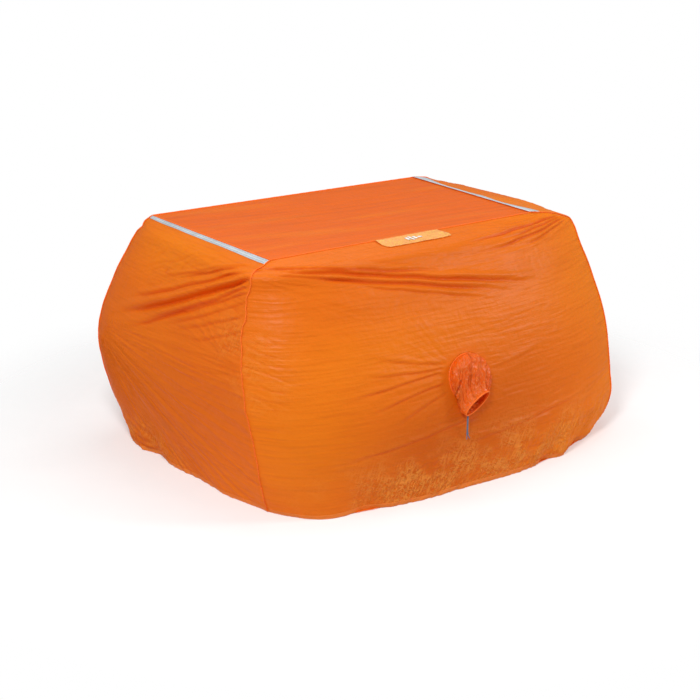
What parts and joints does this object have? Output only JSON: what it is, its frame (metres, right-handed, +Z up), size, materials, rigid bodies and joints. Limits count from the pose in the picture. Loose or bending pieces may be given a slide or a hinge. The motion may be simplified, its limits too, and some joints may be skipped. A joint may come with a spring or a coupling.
{
  "type": "group emergency shelter",
  "caption": "Pitched group storm shelter: an open-bottomed nylon box with a drooping vent sleeve, reflective roof tapes, a stow flap and turned-in seats.",
  "frame": {"origin": "middle of the whole pitched shelter's bounding box, on the ground", "axes": "+Z up; +X along the long walls; the vent is on the -Y wall"},
  "size_m": [2.0448, 1.6481, 0.9947],
  "materials": {
    "wall_cloth": "satin",
    "roof_cloth": "satin",
    "seam_binding": "satin",
    "vent_cloth": "satin",
    "flap_cloth": "satin",
    "badge": "matte",
    "reflective_tape": "satin",
    "drawcord": "matte"
  },
  "bodies": {
    "shelter": {"roof_panel": "roof_cloth", "front_wall_panel": "wall_cloth", "rear_wall_panel": "wall_cloth", "left_end_panel": "wall_cloth", "right_end_panel": "wall_cloth", "front_seat_flap": "roof_cloth", "rear_seat_flap": "roof_cloth", "front_roof_seam": "seam_binding", "rear_roof_seam": "seam_binding", "left_roof_seam": "seam_binding", "right_roof_seam": "seam_binding", "front_left_corner_seam": "seam_binding", "front_right_corner_seam": "seam_binding", "rear_right_corner_seam": "seam_binding", "rear_left_corner_seam": "seam_binding", "front_hem_binding": "seam_binding", "rear_hem_binding": "seam_binding", "left_hem_binding": "seam_binding", "right_hem_binding": "seam_binding", "left_reflective_tape": "reflective_tape", "right_reflective_tape": "reflective_tape", "vent_collar": "seam_binding"},
    "snorkel": {"vent_snorkel": "vent_cloth", "vent_mouth_hem": "seam_binding"},
    "drawcord": {"vent_drawcord_left": "drawcord", "vent_drawcord_right": "drawcord", "vent_cord_knot": "drawcord", "vent_cord_tail_left": "drawcord", "vent_cord_tail_right": "drawcord"},
    "stow_flap": {"stow_pocket_flap": "flap_cloth", "stow_flap_badge": "badge"}
  },
  "joints": [
    {"name": "vent_lift", "type": "hinge", "parent": "shelter", "child": "snorkel", "pos_m": [-0.0028, -0.69055, 0.55289], "axis": [-1, 0, 0], "range_deg": [0, 60]},
    {"name": "drawcord_swing", "type": "hinge", "parent": "snorkel", "child": "drawcord", "pos_m": [-0.05839, -0.77516, 0.32319], "axis": [-1, 0, 0], "range_deg": [-60, 0]},
    {"name": "stow_flap_flip", "type": "hinge", "parent": "shelter", "child": "stow_flap", "pos_m": [-0.0418, -0.3517, 0.9952], "axis": [-1, 0, 0], "range_deg": [0, 140]}
  ],
  "couplings": [
    {"joint": "drawcord_swing", "follows": "vent_lift", "ratio": -1}
  ]
}
